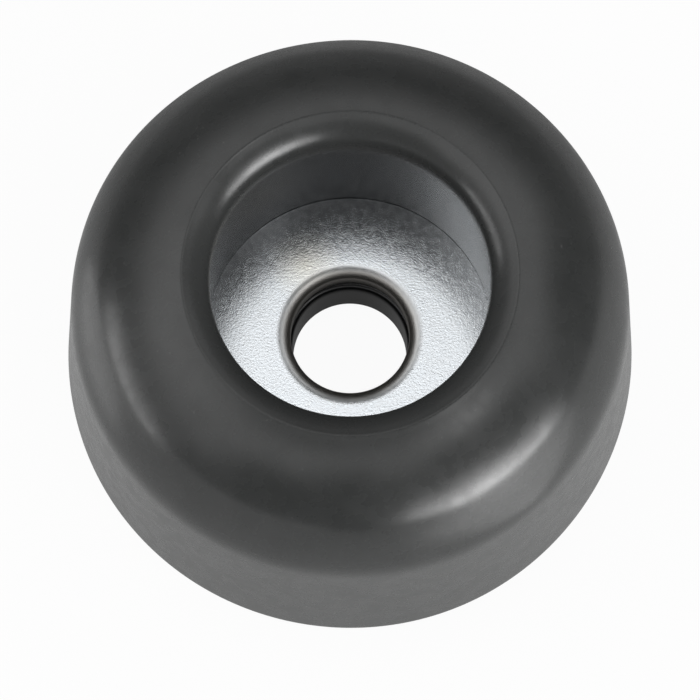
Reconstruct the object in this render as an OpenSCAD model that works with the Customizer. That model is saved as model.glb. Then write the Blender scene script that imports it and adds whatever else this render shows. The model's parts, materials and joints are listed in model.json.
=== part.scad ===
// Rubber foot with a steel washer moulded into its screw recess.
// Units are millimetres. The foot stands on its wide mounting face at z = 0,
// with the screw axis along z and the rounded tread end upwards.

/* [Rubber body] */
// diameter of the flat mounting face
base_d = 38; // [36:0.5:44]
// height of the tread edge above the mounting face
foot_h = 19.4; // [18.5:0.1:22]
// height of the shoulder, where the drafted wall ends
shoulder_h = 12.4; // [10:0.1:13]
// how far the wall leans in between the mounting face and the shoulder
wall_draft = 0.85; // [0.3:0.05:1.4]
// round that softens the shoulder
shoulder_round = 2; // [1:0.1:3]
// height of the flank, from the shoulder up to the crease
flank_h = 3.8; // [3:0.1:4.6]
// how far the flank leans in between the shoulder and the crease
flank_in = 2.05; // [1.6:0.05:2.6]
// radius of the flank
flank_r = 14.6; // [10:0.1:25]
// radius of the crown, from the crease to the tread edge
crown_r = 12.2; // [8:0.1:20]

/* [Screw recess] */
// diameter of the mould split line around the mouth
mouth_d = 21.5; // [20.5:0.1:23]
// diameter of the recess under the mouth, its narrowest place
recess_d = 18.1; // [17:0.1:19.4]
// how much wider the recess is at the washer, on each side
recess_flare = 0.4; // [0:0.05:0.6]
// height of the washer face above the mounting face
seat_h = 5; // [4:0.1:8]
// radius of the mouth round, from the split line down to the recess wall
lip_round = 2; // [1.7:0.1:3]
// drop from the split line to the start of the mouth round
split_step = 0.12; // [0.05:0.01:0.3]
// diameter of the screw bore through the rubber
bore_d = 7.6; // [6:0.1:7.8]

/* [Washer] */
// outer diameter, held in the rubber
washer_d = 22; // [20.5:0.5:26]
// thickness of the steel
washer_t = 1.5; // [1:0.1:2.5]
// diameter of the punched hole
hole_d = 7.9; // [7.8:0.1:10]
// round of the rolled-in edge around the hole
hole_round = 0.6; // [0.3:0.1:0.9]

/* [Hidden] */
$fn = 108;
// facets of the small rounds
small_fn = 48;
rubber_colour = [0.045, 0.047, 0.05];
zinc_colour = [0.72, 0.74, 0.75];
base_r = base_d / 2;
mouth_r = mouth_d / 2;
recess_r = recess_d / 2;
washer_r = washer_d / 2;
washer_z = seat_h - washer_t;
// a cut that has to run past a face goes this much further
past = 1;

// The drafted wall: its direction upwards and its normal outwards.
shoulder = [base_r - wall_draft, shoulder_h];
wall_run = shoulder - [base_r, 0];
wall_dir = wall_run / norm(wall_run);
wall_out = [wall_dir[1], -wall_dir[0]];

// Centre of a round of radius r that passes through two points of the outline, lower one first.
function arc_centre(low, high, r) =
  let (run = high - low, out = [run[1], -run[0]] / norm(run))
  (low + high) / 2 - sqrt(r * r - run * run / 4) * out;

crease = shoulder + [-flank_in, flank_h];
tread_edge = [mouth_r, foot_h];
flank_c = arc_centre(shoulder, crease, flank_r);
crown_c = arc_centre(crease, tread_edge, crown_r);

// Centre of the shoulder round, tangent to the wall and to the flank from inside.
wall_in = [base_r, 0] - shoulder_round * wall_out;
reach = wall_in - flank_c;
along = reach * wall_dir;
inner_r = flank_r - shoulder_round;
climb = sqrt(along * along - reach * reach + inner_r * inner_r) - along;
round_c = wall_in + climb * wall_dir;
flank_out = (round_c - flank_c) / norm(round_c - flank_c);
// the wedge that is trimmed to the round reaches this far past it
wedge_reach = shoulder_round + past;
// a round stands this little proud, so that it crosses the faces that it joins
round_proud = 0.0005;

// Centre of the mouth round, level with the place where it meets the recess wall.
lip_x = recess_r + lip_round;
lip_rise = sqrt(lip_round * lip_round - (lip_x - mouth_r) * (lip_x - mouth_r));
lip_z = foot_h - split_step - lip_rise;

// What the shoulder round takes off: a wedge between its touching points, less the round.
module shoulder_waste() {
  difference() {
    polygon([round_c, round_c + wedge_reach * wall_out, round_c + wedge_reach * flank_out]);
    translate(round_c)
      circle(r = shoulder_round + round_proud);
  }
}

// Outer outline of the rubber, to the right of the axis.
module outer_outline() {
  difference() {
    union() {
      intersection() {
        translate(flank_c)
          circle(r = flank_r);
        translate(crown_c)
          circle(r = crown_r);
        translate([mouth_r, shoulder_h])
          square([base_r, foot_h]);
      }
      polygon([[0, 0], [base_r, 0], shoulder, [0, shoulder_h]]);
    }
    shoulder_waste();
  }
  translate([0, shoulder_h])
    square([mouth_r, lip_z - shoulder_h]);
  lip_outline();
}

// Section of the rubber under the mouth round.
module lip_outline() {
  intersection() {
    translate([lip_x, lip_z])
      circle(r = lip_round + round_proud, $fn = small_fn);
    translate([recess_r - past, lip_z])
      square([mouth_r - recess_r + past, lip_round]);
  }
}

// The recess, open at the top, a little wider at the washer than under the mouth.
module recess_outline() {
  lean = recess_flare / (lip_z - seat_h);
  top = foot_h + past;
  top_r = recess_r - lean * (top - lip_z);
  polygon([[0, seat_h], [recess_r + recess_flare, seat_h], [top_r, top], [0, top]]);
}

module washer_blank_outline() {
  translate([0, washer_z])
    square([washer_r, washer_t]);
}

module rubber_body() {
  color(rubber_colour)
    rotate_extrude()
      difference() {
        outer_outline();
        translate([0, -past])
          square([bore_d / 2, foot_h]);
        recess_outline();
        washer_blank_outline();
      }
}

module steel_washer() {
  edge_r = hole_d / 2 + hole_round;
  edge_z = seat_h - hole_round;
  color(zinc_colour)
    rotate_extrude()
      union() {
        difference() {
          washer_blank_outline();
          translate([0, washer_z - past])
            square([edge_r, washer_t + 2 * past]);
        }
        translate([hole_d / 2, washer_z])
          square([hole_round, washer_t - hole_round]);
        intersection() {
          translate([edge_r, edge_z])
            circle(r = hole_round, $fn = small_fn);
          translate([hole_d / 2, edge_z])
            square(hole_round);
        }
      }
}

rubber_body();
steel_washer();
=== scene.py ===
import json
import math

import bpy
import numpy as np
from mathutils import Matrix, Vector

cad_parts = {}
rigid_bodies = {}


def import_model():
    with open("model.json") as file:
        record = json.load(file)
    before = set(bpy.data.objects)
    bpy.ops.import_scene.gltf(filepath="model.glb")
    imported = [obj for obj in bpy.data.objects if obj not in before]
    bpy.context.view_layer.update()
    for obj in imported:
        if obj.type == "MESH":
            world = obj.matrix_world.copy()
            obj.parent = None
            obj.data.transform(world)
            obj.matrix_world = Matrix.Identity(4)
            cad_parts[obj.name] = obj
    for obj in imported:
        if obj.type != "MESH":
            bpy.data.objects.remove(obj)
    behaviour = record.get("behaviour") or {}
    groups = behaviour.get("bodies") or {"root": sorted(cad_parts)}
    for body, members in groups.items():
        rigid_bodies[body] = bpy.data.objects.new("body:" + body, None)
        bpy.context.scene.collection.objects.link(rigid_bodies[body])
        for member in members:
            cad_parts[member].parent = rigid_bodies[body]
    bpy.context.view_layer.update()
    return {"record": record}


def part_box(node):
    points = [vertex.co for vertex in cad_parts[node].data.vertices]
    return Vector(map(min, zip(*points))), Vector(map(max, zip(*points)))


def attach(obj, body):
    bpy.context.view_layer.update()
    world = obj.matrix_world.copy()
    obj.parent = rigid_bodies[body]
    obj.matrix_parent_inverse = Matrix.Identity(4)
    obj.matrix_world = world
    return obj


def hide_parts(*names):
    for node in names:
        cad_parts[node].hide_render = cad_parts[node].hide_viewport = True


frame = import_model()

mm = 0.001


# A node's lowest and highest corners, in millimetres.
def nodeBox(node):
    return [np.array(corner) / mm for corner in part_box(node)]


rubberLow, rubberHigh = nodeBox("rubber_body")
washerLow, washerHigh = nodeBox("steel_washer")
screwBore = [m for m in frame["record"]["mounts"] if m["name"] == "screw_bore"][0]
baseR = (rubberHigh[0] - rubberLow[0]) / 2
footH = rubberHigh[2]
washerR = (washerHigh[0] - washerLow[0]) / 2
washerZ = washerLow[2]
seatH = washerHigh[2]
boreR = screwBore["dims"]["r_mm"]
print("frame: base radius %.2f, height %.2f, washer face at %.2f mm" % (baseR, footH, seatH))


# shapes: a profile of (radius, height) points in mm, turned about the axis

# Arc through two points, lower one first: its centre lies inside, on the chord's
# perpendicular, where centre to chord squared is radius squared less half chord squared.
def arcBetween(low, high, radius, count=160):
    low, high = np.array(low, float), np.array(high, float)
    chord = high - low
    outward = np.array([chord[1], -chord[0]]) / np.hypot(*chord)
    centre = (low + high) / 2 - np.sqrt(radius ** 2 - chord @ chord / 4) * outward
    first = math.atan2(*(low - centre)[::-1])
    last = math.atan2(*(high - centre)[::-1])
    return arcAbout(centre, radius, first, last, count)


# Arc about a centre: centre plus radius times (cosine, sine) of an evenly spaced angle.
def arcAbout(centre, radius, first, last, count=120):
    turn = np.linspace(first, last, count)
    return np.array(centre) + radius * np.c_[np.cos(turn), np.sin(turn)]


# Evenly spaced points along a closed line: both coordinates read off at equal lengths, after
# points that repeat the one before are left out.
def evenly(points, step, same=1e-9):
    ring = np.vstack([points, points[:1]])
    length = np.r_[0, np.cumsum(np.hypot(*np.diff(ring, axis=0).T))]
    keep = np.r_[True, np.diff(length) > same]
    along = np.arange(0, length[-1], step)
    return np.c_[np.interp(along, length[keep], ring[keep, 0]),
                 np.interp(along, length[keep], ring[keep, 1])]


# Softened edges: each point becomes the mean of its neighbours, weighted by a bell curve
# of distance along the line. The curve's width is the softness of an edge, and falls off by
# another bell curve, `spreads` times as wide, of the distance to that edge.
def soften(line, step, edges, least=0.01, spreads=3):
    width = np.full(len(line), least)
    for spot, soft in edges:
        gap = np.hypot(*(line - np.array(spot)).T)
        width = np.maximum(width, soft * np.exp(-0.5 * (gap / (spreads * soft)) ** 2))
    rank = np.arange(len(line))
    apart = np.abs(rank[:, None] - rank[None, :])
    apart = np.minimum(apart, len(line) - apart) * step
    weight = np.exp(-0.5 * (apart / width[:, None]) ** 2)
    return (weight @ line) / weight.sum(1)[:, None]


# Points crowded where the line bends: equal steps of length plus `crowd` times the turning.
def spread(line, count, crowd):
    ring = np.vstack([line, line[:1]])
    step = np.diff(ring, axis=0)
    bearing = np.unwrap(np.arctan2(step[:, 1], step[:, 0]))
    fullTurns = round((bearing[-1] - bearing[0]) / (2 * math.pi)) * 2 * math.pi
    turning = np.abs(np.diff(np.r_[bearing, bearing[0] + fullTurns]))
    cost = np.r_[0, np.cumsum(np.hypot(*step.T) + crowd * turning)]
    at = np.linspace(0, cost[-1], count, endpoint=False)
    return np.c_[np.interp(at, cost, ring[:, 0]), np.interp(at, cost, ring[:, 1])]


# Surface of revolution: (radius cos turn, radius sin turn, height) on a grid of profile
# point by turn, closed both ways. `shift` gives (outwards, upwards) mm to add at each point.
def revolve(name, profile, around, shift):
    turn = np.linspace(0, 2 * math.pi, around, endpoint=False)[None, :]
    radius = np.repeat(profile[:, :1], around, 1)
    height = np.repeat(profile[:, 1:], around, 1)
    outwards, upwards = shift(radius, height, turn)
    radius, height = radius + outwards, height + upwards
    grid = np.stack([radius * np.cos(turn), radius * np.sin(turn), height], -1) * mm
    rows, columns = grid.shape[:2]
    here = np.arange(rows * columns).reshape(rows, columns)
    nextRow, nextColumn = np.roll(here, -1, 0), np.roll(here, -1, 1)
    corner = np.roll(nextRow, -1, 1)
    faces = np.stack([here, nextColumn, corner, nextRow], -1).reshape(-1, 4)
    mesh = bpy.data.meshes.new(name)
    mesh.from_pydata(grid.reshape(-1, 3).tolist(), [], faces.tolist())
    mesh.polygons.foreach_set("use_smooth", np.ones(len(faces), bool))
    mesh.update()
    piece = bpy.data.objects.new(name, mesh)
    bpy.context.scene.collection.objects.link(piece)
    return piece


# Smooth unevenness: a sum of cosines (waves, size in mm, phase in degrees) round the axis.
def waviness(turn, waves):
    return sum(size * np.cos(count * turn - math.radians(phase)) for count, size, phase in waves)


# materials

# Numbers and sockets put into a node's inputs, in their order.
def feed(links, inputs, values):
    for socket, value in zip(inputs, values):
        if isinstance(value, (int, float)):
            socket.default_value = value
        else:
            links.new(value, socket)


# Two values put together by one kind of sum.
def combine(nodes, links, kind, first, second):
    node = nodes.new("ShaderNodeMath")
    node.operation = kind
    feed(links, node.inputs, (first, second))
    return node.outputs["Value"]


# Line through a value: with `ends` as (from, to, low, high), low up to `from`, high past `to`,
# and straight from one to the other, or eased at both ends where it is smooth.
def between(nodes, links, value, ends, smooth=False):
    node = nodes.new("ShaderNodeMapRange")
    node.interpolation_type = "SMOOTHSTEP" if smooth else "LINEAR"
    names = ("Value", "From Min", "From Max", "To Min", "To Max")
    feed(links, [node.inputs[name] for name in names], (value,) + tuple(ends))
    return node.outputs["Result"]


# A principled material whose patterns read Object coordinates scaled to millimetres.
class Finish:
    def __init__(self, name):
        self.material = bpy.data.materials.new(name)
        self.material.use_nodes = True
        self.nodes = self.material.node_tree.nodes
        self.links = self.material.node_tree.links
        self.shader = self.nodes["Principled BSDF"]
        coords = self.nodes.new("ShaderNodeTexCoord")
        self.place = self.nodes.new("ShaderNodeMapping")
        self.place.inputs["Scale"].default_value = (1 / mm,) * 3
        self.links.new(coords.outputs["Object"], self.place.inputs["Vector"])

    # Smooth random pattern from 0 to 1, `scale` to the millimetre, with finer layers on top.
    def noise(self, scale, detail):
        node = self.nodes.new("ShaderNodeTexNoise")
        node.inputs["Scale"].default_value = scale
        node.inputs["Detail"].default_value = detail
        self.links.new(self.place.outputs["Vector"], node.inputs["Vector"])
        return node.outputs["Fac"]

    # Straight line from `low` at `fromLow` to `high` at `fromHigh`, level outside them. Noise
    # lies mostly between the two that it starts with.
    def ramp(self, value, low, high, fromLow=0.35, fromHigh=0.65):
        return between(self.nodes, self.links, value, (fromLow, fromHigh, low, high))

    # Distance in mm from the axis, or from a point.
    def distance(self, point=None):
        node = self.nodes.new("ShaderNodeVectorMath")
        if point is None:
            node.operation = "LENGTH"
            flat = self.nodes.new("ShaderNodeVectorMath")
            flat.operation = "MULTIPLY"
            flat.inputs[1].default_value = (1, 1, 0)
            self.links.new(self.place.outputs["Vector"], flat.inputs[0])
            self.links.new(flat.outputs["Vector"], node.inputs[0])
        else:
            node.operation = "DISTANCE"
            node.inputs[1].default_value = point
            self.links.new(self.place.outputs["Vector"], node.inputs[0])
        return node.outputs["Value"]

    # The first colour times one less the share, plus the second times the share.
    def mixColour(self, share, first, second):
        node = self.nodes.new("ShaderNodeMix")
        node.data_type = "RGBA"
        self.links.new(share, node.inputs["Factor"])
        for socket, colour in ((node.inputs["A"], first), (node.inputs["B"], second)):
            if isinstance(colour, tuple):
                socket.default_value = colour + (1,)
            else:
                self.links.new(colour, socket)
        return node.outputs["Result"]

    # Normal tilted by the slope of a pattern that is `depth` mm high, over another normal.
    def bump(self, height, depth, strength, over=None):
        node = self.nodes.new("ShaderNodeBump")
        node.inputs["Strength"].default_value = strength
        node.inputs["Distance"].default_value = depth * mm
        self.links.new(height, node.inputs["Height"])
        if over is not None:
            self.links.new(over, node.inputs["Normal"])
        return node.outputs["Normal"]


# the rubber body

# lengths in mm, angles in degrees: H is a height above the mounting face, R a radius from the
# axis or of an arc, lip the round of the mouth, soft the softness of an edge, Noise a scale to
# the millimetre and a detail, Within two distances between which a colour goes over
rubber = dict(
    shoulderH=12.4, wallDraft=0.85, creaseH=16.2, creaseR=16.1, flankR=14.6, crownR=12.2,
    mouthR=10.75, recessR=8.99, recessFootR=9.45, splitStep=0.05,
    lipRise=2.55, lipSteep=66, lipFlatR=3.7, lipFlatAbove=43, lipRoundR=1.4, lipRoundBelow=33,
    lipWallR=4, lipWallBetween=(14, 4),
    softBase=0.25, softShoulder=0.64, softCrease=0.3, softSplit=0.09, softFoot=0.12,
    softBore=0.3,
    flash=0.03, flashWidth=0.14, flashMean=0.55, flashSwing=0.45,
    flashWaves=[(3, 0.6, 130), (7, 0.4, 20)],
    boreAside=0.28, boreAsideTurn=-90, boreAsideBetween=(4.5, 6),
    waves=[(2, 0.02, 40), (3, 0.03, 100), (5, 0.015, 10)],
    step=0.02, rows=340, around=256, crowd=1.6,

    dark=(0.0285, 0.0300, 0.0295), pale=(0.0335, 0.0350, 0.0345),
    # painted light: the first colour on the next line paints the mouth round inside the split
    # line paler
    mouth=(0.0395, 0.0410, 0.0405), mouthWithin=(10.6, 10.9), recess=(0.006, 0.0065, 0.007),
    # painted shade: the last colour on the line above darkens the recess near recessMiddle
    recessMiddle=(0, 0, 9), recessWithin=(11.4, 12.6),
    dust=(0.07, 0.07, 0.07), dustAbove=(0.74, 0.84),
    roughness=(0.25, 0.30), recessRoughness=0.25, ior=1.5,
    mottleNoise=(0.35, 4), dustNoise=(3.5, 1), satinNoise=(0.9, 3),
    peelNoise=(0.9, 2), peelDepth=0.012, peelStrength=0.3,
    grainNoise=(7.0, 3), grainDepth=0.01, grainStrength=0.2,
)


# Round from the split line to the recess wall: the slope turns evenly from lipSteep degrees to
# upright, in steps as long as the bend's radius times the turn, stretched a little to fit. The
# radius goes smoothly from lipFlatR above one slope to lipRoundR below another, and grows evenly
# by lipWallR between the last two slopes, so that the round runs out softly into the wall.
def mouthRound(top, foot, size, count=160):
    slope = np.radians(np.linspace(size["lipSteep"], 0, count))
    middle = (slope[1:] + slope[:-1]) / 2
    flatAbove, roundBelow = size["lipFlatAbove"], size["lipRoundBelow"]
    easeFrom, easeTo = size["lipWallBetween"]
    rise = np.clip((np.degrees(middle) - roundBelow) / (flatAbove - roundBelow), 0, 1)
    ease = np.clip((easeFrom - np.degrees(middle)) / (easeFrom - easeTo), 0, 1)
    smooth = rise ** 2 * (3 - 2 * rise)
    reach = (size["lipRoundR"] + (size["lipFlatR"] - size["lipRoundR"]) * smooth
             + size["lipWallR"] * ease)
    across = np.r_[0, np.cumsum(reach * np.sin(middle))]
    down = np.r_[0, np.cumsum(reach * np.cos(middle))]
    return np.c_[top[0] + (foot[0] - top[0]) * across / across[-1],
                 top[1] + (foot[1] - top[1]) * down / down[-1]]


# Section of the rubber: base, drafted wall, shoulder, flank and crown arcs, split step, mouth
# round, flared recess, washer groove and screw bore, as one closed line with softened edges.
def rubberSection(size):
    shoulder = np.array([baseR - size["wallDraft"], size["shoulderH"]])
    crease = (size["creaseR"], size["creaseH"])
    split = (size["mouthR"], footH)
    lipTop = (size["mouthR"], footH - size["splitStep"])
    lipFoot = (size["recessR"], lipTop[1] - size["lipRise"])
    line = evenly(np.vstack([
        [(boreR, 0), (baseR, 0)],
        shoulder[None, :],
        arcBetween(shoulder, crease, size["flankR"]),
        arcBetween(crease, split, size["crownR"]),
        mouthRound(lipTop, lipFoot, size),
        [(size["recessFootR"], seatH), (washerR, seatH), (washerR, washerZ), (boreR, washerZ)],
    ]), size["step"])
    return soften(line, size["step"], [
        ((baseR, 0), size["softBase"]), (shoulder, size["softShoulder"]),
        (crease, size["softCrease"]), (split, size["softSplit"]),
        ((size["recessFootR"], seatH), size["softFoot"]), ((boreR, washerZ), size["softBore"]),
    ])


# Unevenness of moulded rubber, growing with the distance from the axis squared, and a thin
# bead of flash on the split line that comes and goes: a bell curve of the distance to it. The
# bore through the floor was moulded a little to the front of the washer's hole, and that shift
# fades evenly between two radii.
def rubberShift(radius, height, turn):
    swell = waviness(turn, rubber["waves"]) * (radius / baseR) ** 2
    gap = np.hypot(radius - rubber["mouthR"], height - footH)
    bead = np.exp(-0.5 * (gap / rubber["flashWidth"]) ** 2)
    comes = rubber["flashMean"] + rubber["flashSwing"] * waviness(turn, rubber["flashWaves"])
    inner, outer = rubber["boreAsideBetween"]
    nearBore = np.clip((outer - radius) / (outer - inner), 0, 1)
    aside = waviness(turn, [(1, rubber["boreAside"], rubber["boreAsideTurn"])]) * nearBore
    return swell + aside, rubber["flash"] * bead * comes


# Two near greys mixed by a mottle, specks of dust, a paler mouth inside the split line, which is
# painted light, and a darker recess nearer than a set distance to a point inside it, which is
# painted shade. Peel and grain are bumps.
def rubberFinish(look):
    finish = Finish("satinRubber")
    shader, links = finish.shader, finish.links
    shader.inputs["IOR"].default_value = look["ior"]
    mottle = finish.ramp(finish.noise(*look["mottleNoise"]), 0, 1)
    colour = finish.mixColour(mottle, look["dark"], look["pale"])
    specks = finish.ramp(finish.noise(*look["dustNoise"]), 0, 1, *look["dustAbove"])
    colour = finish.mixColour(specks, colour, look["dust"])
    # painted light: the mouth round inside the split line is painted paler
    mouth = finish.ramp(finish.distance(), 1, 0, *look["mouthWithin"])
    colour = finish.mixColour(mouth, colour, look["mouth"])
    # painted shade: the recess is painted nearly black near a point inside it
    outside = finish.ramp(finish.distance(look["recessMiddle"]), 0, 1, *look["recessWithin"])
    links.new(finish.mixColour(outside, look["recess"], colour), shader.inputs["Base Color"])
    satin = finish.ramp(finish.noise(*look["satinNoise"]), *look["roughness"])
    links.new(finish.ramp(outside, look["recessRoughness"], satin, 0, 1),
              shader.inputs["Roughness"])
    peel = finish.bump(finish.noise(*look["peelNoise"]), look["peelDepth"], look["peelStrength"])
    grain = finish.bump(finish.noise(*look["grainNoise"]), look["grainDepth"],
                        look["grainStrength"], peel)
    links.new(grain, shader.inputs["Normal"])
    return finish.material


section = spread(rubberSection(rubber), rubber["rows"], rubber["crowd"])
rubberBody = revolve("rubberBody", section, rubber["around"], rubberShift)
rubberBody.data.materials.append(rubberFinish(rubber))
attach(rubberBody, "root")
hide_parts("rubber_body")
print("rubber body: %d faces" % len(rubberBody.data.polygons))


# the washer

# lengths in mm: the face is uneven only above faceAbove and fades to flat over waveFade
washer = dict(
    holeR=3.95, rollAcross=0.9, rollDown=0.6, softRim=0.06,
    waves=[(2, 0.006, 25), (3, 0.005, 80)], waveFade=3, faceAbove=0.1,
    step=0.01, rows=150, around=240, crowd=0.6,

    cool=(0.68, 0.715, 0.745), bright=(0.83, 0.865, 0.895), warm=(0.82, 0.80, 0.72),
    warmSpot=(-3.0, 4.8, 5.0), warmReach=2.6, warmShare=0.8, roughness=(0.20, 0.26),
    # painted shade: the first colour on this line darkens the rolled edge of the hole; its
    # roughness is the edge's own
    rimPaintedShade=(0.46, 0.445, 0.42), rimWithin=(4.25, 4.95), rimRoughness=0.42,
    mottleNoise=(2.4, 3), grainNoise=(6.2, 2), grainDepth=0.006, grainStrength=1.0,
    pitNoise=(11.0, 1), pitDepth=0.004, pitStrength=1.0,
)


# Section of the washer: flat ring whose hole edge is rolled in from above by a quarter ellipse,
# the cosine and sine of an even turn times how far it reaches across and down.
def washerSection(size):
    across, down = size["rollAcross"], size["rollDown"]
    roll = arcAbout((0, 0), 1, math.pi / 2, math.pi) * (across, down)
    line = evenly(np.vstack([
        [(size["holeR"], washerZ), (washerR, washerZ), (washerR, seatH)],
        roll + (size["holeR"] + across, seatH - down),
    ]), size["step"])
    return soften(line, size["step"], [((size["holeR"], washerZ), size["softRim"])])


# The pressed face is a little uneven inside the rubber's grip, fading evenly to flat where it
# is held. The underside stays flat.
def washerShift(radius, height, turn):
    loose = np.clip((rubber["recessR"] - radius) / washer["waveFade"], 0, 1)
    face = height > washerZ + washer["faceAbove"]
    return 0 * radius, waviness(turn, washer["waves"]) * loose * face


# Two pale greys mixed by a mottle, a warm tint that fades with the distance from a spot, and a
# duller rolled edge nearer the axis whose darker colour is painted shade. Tumbled grain and pits
# are bumps.
def washerFinish(look):
    finish = Finish("tumbledZinc")
    shader, links = finish.shader, finish.links
    shader.inputs["Metallic"].default_value = 1.0
    mottle = finish.ramp(finish.noise(*look["mottleNoise"]), 0, 1)
    colour = finish.mixColour(mottle, look["cool"], look["bright"])
    tint = finish.ramp(finish.distance(look["warmSpot"]), look["warmShare"], 0, 0,
                       look["warmReach"])
    # painted shade: the rolled edge of the hole is painted darker
    face = finish.ramp(finish.distance(), 0, 1, *look["rimWithin"])
    links.new(finish.mixColour(face, look["rimPaintedShade"], finish.mixColour(tint, colour, look["warm"])),
              shader.inputs["Base Color"])
    pressed = finish.ramp(mottle, *look["roughness"], 0, 1)
    links.new(finish.ramp(face, look["rimRoughness"], pressed, 0, 1), shader.inputs["Roughness"])
    grain = finish.bump(finish.noise(*look["grainNoise"]), look["grainDepth"],
                        look["grainStrength"])
    pits = finish.bump(finish.noise(*look["pitNoise"]), look["pitDepth"], look["pitStrength"],
                       grain)
    links.new(pits, shader.inputs["Normal"])
    return finish.material


ringSection = spread(washerSection(washer), washer["rows"], washer["crowd"])
steelWasher = revolve("steelWasher", ringSection, washer["around"], washerShift)
steelWasher.data.materials.append(washerFinish(washer))
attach(steelWasher, "root")
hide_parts("steel_washer")
print("washer: %d faces" % len(steelWasher.data.polygons))


# floor, light and camera

# the floor: its size in m, how far it lies below the object in mm, its paint, and the share of
# its own glow that the camera and mirrored rays see. The camera sees it glow white. Mirrored rays
# see `glow` in front, which goes to `glowBehind` between two places behind the axis (mm), and is
# taken times `glowUnder` inside the share `underWithin` of the object's radius: that drop behind
# and under the object is painted shadow.
setting = dict(
    floorSize=6.0, floorDrop=0.02, floorColour=(0.80, 0.80, 0.80), floorRoughness=0.25,
    cameraShare=0.95, glossyShare=0.6, glow=0.68, glowBehind=0.07, glowFrom=5, glowTo=22,
    glowUnder=0.3, underWithin=0.9,
)

# a light tent: how bright it is (white is 1) at each height above the horizon, in degrees,
# and the gaps in it: where they are (turn from the right, rise) and how far from there the tent
# is wholly gone and wholly back, all in degrees
tent = dict(
    bright=[(0, 0.02), (13, 0.06), (24, 0.46), (32, 1.22), (44, 1.32), (56, 1.3), (64, 0.4),
            (72, 0.03)],
    gaps=[(90.5, 58, 9, 17), (-40, 24, 24, 30), (-88, 33, 10, 23), (14, 22, 9, 21),
          (-118, 30, 6, 19)],
)

# lamps, each facing the object from the same distance (m): direction as above, how far it
# reaches to the side and up (degrees), how bright it is, and its shape
lampDistance = 1.5
lamps = dict(
    overhead=dict(turn=115, rise=80.5, side=13, up=9, bright=1.75, shape="ELLIPSE"),
    rightAbove=dict(turn=-33, rise=55.5, side=8.4, up=8.4, bright=2.4, shape="DISK"),
    leftAbove=dict(turn=176, rise=54, side=20, up=20, bright=0.45, shape="DISK"),
    rightLow=dict(turn=-39.5, rise=7.5, side=18.5, up=7.2, bright=10.5, shape="RECTANGLE"),
    rightFront=dict(turn=-54, rise=14, side=17, up=6, bright=9.0, shape="RECTANGLE"),
    leftLow=dict(turn=188.3, rise=6, side=18, up=6, bright=4.4, shape="RECTANGLE"),
    frontLow=dict(turn=-127, rise=4.7, side=30, up=4.5, bright=0.8, shape="RECTANGLE"),
)

# pale cards on the floor beside the object, facing up: middle and half size in mm, brightness
cards = dict(
    rightCard=dict(middle=(50, -46), half=(27, 25), bright=1.5),
    leftCard=dict(middle=(-60, -2), half=(24, 14), bright=1.0),
)
cardHeight = 0.5

# how the photograph was taken: focal length in pixels of the frame, degrees above the floor,
# roll, where the middle of the base lies from the lens in mm (right, down, ahead), the frame's
# width in pixels and in mm, and how near and far it sees in m
lens = dict(focal=5000.0, elevation=74.34, roll=0.2, base=(-0.0095, 0.2584, 337.4343),
            picture=700, sensor=36, sees=(0.01, 20))


# How much of a background's own glow a ray sees: `camera` for a ray from the camera or through
# glass, `glossy` for a mirrored ray, the higher where it is both, and none for the others.
def backgroundShare(nodes, links, camera, glossy):
    ray = nodes.new("ShaderNodeLightPath").outputs
    seen = combine(nodes, links, "MAXIMUM", ray["Is Camera Ray"], ray["Is Transmission Ray"])
    seen = combine(nodes, links, "MULTIPLY", seen, camera)
    mirrored = combine(nodes, links, "MULTIPLY", ray["Is Glossy Ray"], glossy)
    return combine(nodes, links, "MAXIMUM", seen, mirrored)


# 1 on the floor beyond the object's reach, and `under` below it: a straight line of the distance
# from the axis between a share of the reach and the whole of it. The low part is painted shadow
# under the object.
def beyond(nodes, links, reach, within, under):
    flat = nodes.new("ShaderNodeVectorMath")
    flat.operation = "LENGTH"
    links.new(nodes.new("ShaderNodeTexCoord").outputs["Object"], flat.inputs[0])
    return between(nodes, links, flat.outputs["Value"], (reach * within, reach, under, 1))


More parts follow.
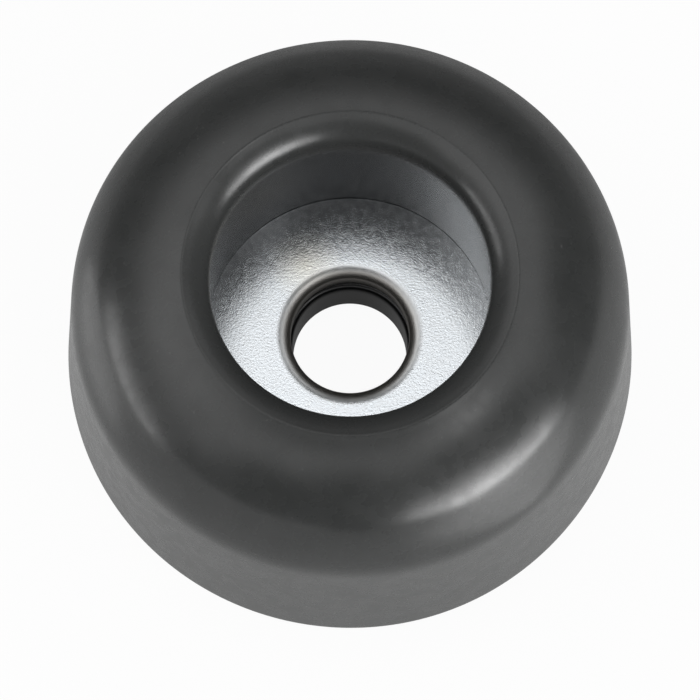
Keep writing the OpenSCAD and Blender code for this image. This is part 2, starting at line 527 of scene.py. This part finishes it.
# A flat square of pale paint mixed with its own glow: the fade from front to back, painted shadow
# behind the object, times the part beyond the object, painted shadow under it, and 1 for the
# camera.
def makeFloor():
    half = setting["floorSize"] / 2
    level = -setting["floorDrop"] * mm
    mesh = bpy.data.meshes.new("floor")
    mesh.from_pydata([(-half, -half, level), (half, -half, level), (half, half, level),
                      (-half, half, level)], [], [(0, 1, 2, 3)])
    floor = bpy.data.objects.new("floor", mesh)
    bpy.context.scene.collection.objects.link(floor)
    material = bpy.data.materials.new("whiteSweep")
    material.use_nodes = True
    nodes, links = material.node_tree.nodes, material.node_tree.links
    lit = nodes["Principled BSDF"]
    lit.inputs["Base Color"].default_value = setting["floorColour"] + (1,)
    lit.inputs["Roughness"].default_value = setting["floorRoughness"]
    glow = nodes.new("ShaderNodeEmission")
    place = nodes.new("ShaderNodeSeparateXYZ")
    links.new(nodes.new("ShaderNodeTexCoord").outputs["Object"], place.inputs[0])
    # painted shadow: the glow that mirrored rays see drops behind the object and under it
    fade = between(nodes, links, place.outputs["Y"],
                   (setting["glowFrom"] * mm, setting["glowTo"] * mm,
                    setting["glow"], setting["glowBehind"]))
    clear = beyond(nodes, links, baseR * mm, setting["underWithin"], setting["glowUnder"])
    shown = combine(nodes, links, "MULTIPLY", fade, clear)
    toCamera = nodes.new("ShaderNodeLightPath").outputs["Is Camera Ray"]
    links.new(combine(nodes, links, "MAXIMUM", shown, toCamera), glow.inputs["Strength"])
    mix = nodes.new("ShaderNodeMixShader")
    links.new(backgroundShare(nodes, links, setting["cameraShare"], setting["glossyShare"]),
              mix.inputs["Fac"])
    links.new(lit.outputs["BSDF"], mix.inputs[1])
    links.new(glow.outputs["Emission"], mix.inputs[2])
    links.new(mix.outputs["Shader"], nodes["Material Output"].inputs["Surface"])
    mesh.materials.append(material)


# Direction as a unit vector: turn from the right about the axis, then rise above the floor.
def heading(turn, rise):
    turn, rise = math.radians(turn), math.radians(rise)
    return np.array([math.cos(rise) * math.cos(turn), math.cos(rise) * math.sin(turn),
                     math.sin(rise)])


# The tent's grey is read off a ramp by the sine of the height. Each gap takes it away smoothly
# where the cosine of the angle to its middle is high. The camera sees plain white.
def makeWorld():
    world = bpy.data.worlds.new("studio")
    world.use_nodes = True
    nodes, links = world.node_tree.nodes, world.node_tree.links
    direction = nodes.new("ShaderNodeTexCoord").outputs["Generated"]
    split = nodes.new("ShaderNodeSeparateXYZ")
    links.new(direction, split.inputs[0])
    ramp = nodes.new("ShaderNodeValToRGB")
    links.new(split.outputs["Z"], ramp.inputs["Fac"])
    most = max(level for rise, level in tent["bright"])
    for place, (rise, level) in enumerate(tent["bright"]):
        position = math.sin(math.radians(rise))
        stops = ramp.color_ramp.elements
        stop = stops[place] if place < len(stops) else stops.new(position)
        stop.position, stop.color = position, (level / most,) * 3 + (1,)
    total = ramp.outputs["Color"]
    for turn, rise, near, far in tent["gaps"]:
        dot = nodes.new("ShaderNodeVectorMath")
        dot.operation = "DOT_PRODUCT"
        links.new(direction, dot.inputs[0])
        dot.inputs[1].default_value = heading(turn, rise)
        ends = (math.cos(math.radians(far)), math.cos(math.radians(near)), 1.0, 0.0)
        scale = nodes.new("ShaderNodeVectorMath")
        scale.operation = "SCALE"
        links.new(total, scale.inputs[0])
        links.new(between(nodes, links, dot.outputs["Value"], ends, True), scale.inputs["Scale"])
        total = scale.outputs["Vector"]
    grey = nodes["Background"]
    links.new(total, grey.inputs["Color"])
    grey.inputs["Strength"].default_value = most
    white = nodes.new("ShaderNodeBackground")
    white.inputs["Color"].default_value = (1, 1, 1, 1)
    mix = nodes.new("ShaderNodeMixShader")
    links.new(backgroundShare(nodes, links, 1.0, 0.0), mix.inputs["Fac"])
    links.new(grey.outputs["Background"], mix.inputs[1])
    links.new(white.outputs["Background"], mix.inputs[2])
    links.new(mix.outputs["Shader"], nodes["World Output"].inputs["Surface"])
    bpy.context.scene.world = world


# Flat light, unseen by the camera. Its watts are its brightness times pi times its area, which
# is width times depth, and a quarter of pi times that where it is round.
def flatLight(name, shape, width, depth, bright, place):
    data = bpy.data.lights.new(name, "AREA")
    data.shape = shape
    data.size, data.size_y = width, depth
    fill = 1.0 if shape == "RECTANGLE" else math.pi / 4
    data.energy = bright * math.pi * data.size * data.size_y * fill
    light = bpy.data.objects.new(name, data)
    light.matrix_world = place
    light.visible_camera = False
    bpy.context.scene.collection.objects.link(light)


# Half a lamp's size is the distance times the tangent of how far it reaches. A light shines
# against its own third axis, so that a lamp's points from the object to the lamp, and the
# cards, which shine up from the floor, are turned over.
def makeLights():
    for name, lamp in lamps.items():
        width, depth = [2 * lampDistance * math.tan(math.radians(reach))
                        for reach in (lamp["side"], lamp["up"])]
        back = heading(lamp["turn"], lamp["rise"])
        across = np.cross([0, 0, 1], back)
        across /= np.linalg.norm(across)
        axes = np.c_[across, np.cross(back, across), back, back * lampDistance]
        place = Matrix(np.vstack([axes, [0, 0, 0, 1]]).tolist())
        flatLight(name, lamp["shape"], width, depth, lamp["bright"], place)
    for name, card in cards.items():
        width, depth = [2 * half * mm for half in card["half"]]
        middle = [length * mm for length in card["middle"] + (cardHeight,)]
        place = Matrix.Translation(middle) @ Matrix.Rotation(math.pi, 4, "X")
        flatLight(name, "RECTANGLE", width, depth, card["bright"], place)


# The lens looks down at the elevation from the front. In its own axes (right, down, ahead)
# the world's up is (0, -cos, -sin) of the elevation, and the roll turns right and up.
def makeCamera():
    tilt, roll = math.radians(lens["elevation"]), math.radians(lens["roll"])
    turn = np.array([[math.cos(roll), -math.sin(roll), 0],
                     [math.sin(roll), math.cos(roll), 0], [0, 0, 1]])
    up = turn @ (0, -math.cos(tilt), -math.sin(tilt))
    right = turn @ (1, 0, 0)
    world = np.array([right, np.cross(up, right), up])
    place = -world @ np.array(lens["base"]) * mm
    data = bpy.data.cameras.new("camera")
    data.sensor_width = lens["sensor"]
    data.lens = lens["focal"] / lens["picture"] * data.sensor_width
    data.clip_start, data.clip_end = lens["sees"]
    camera = bpy.data.objects.new("camera", data)
    axes = np.c_[world[:, 0], -world[:, 1], -world[:, 2], place]
    camera.matrix_world = Matrix(np.vstack([axes, [0, 0, 0, 1]]).tolist())
    bpy.context.scene.collection.objects.link(camera)
    bpy.context.scene.camera = camera


makeFloor()
makeWorld()
makeLights()
makeCamera()
bpy.context.scene.view_settings.view_transform = "Standard"
print("floor, soft boxes and camera are in place")
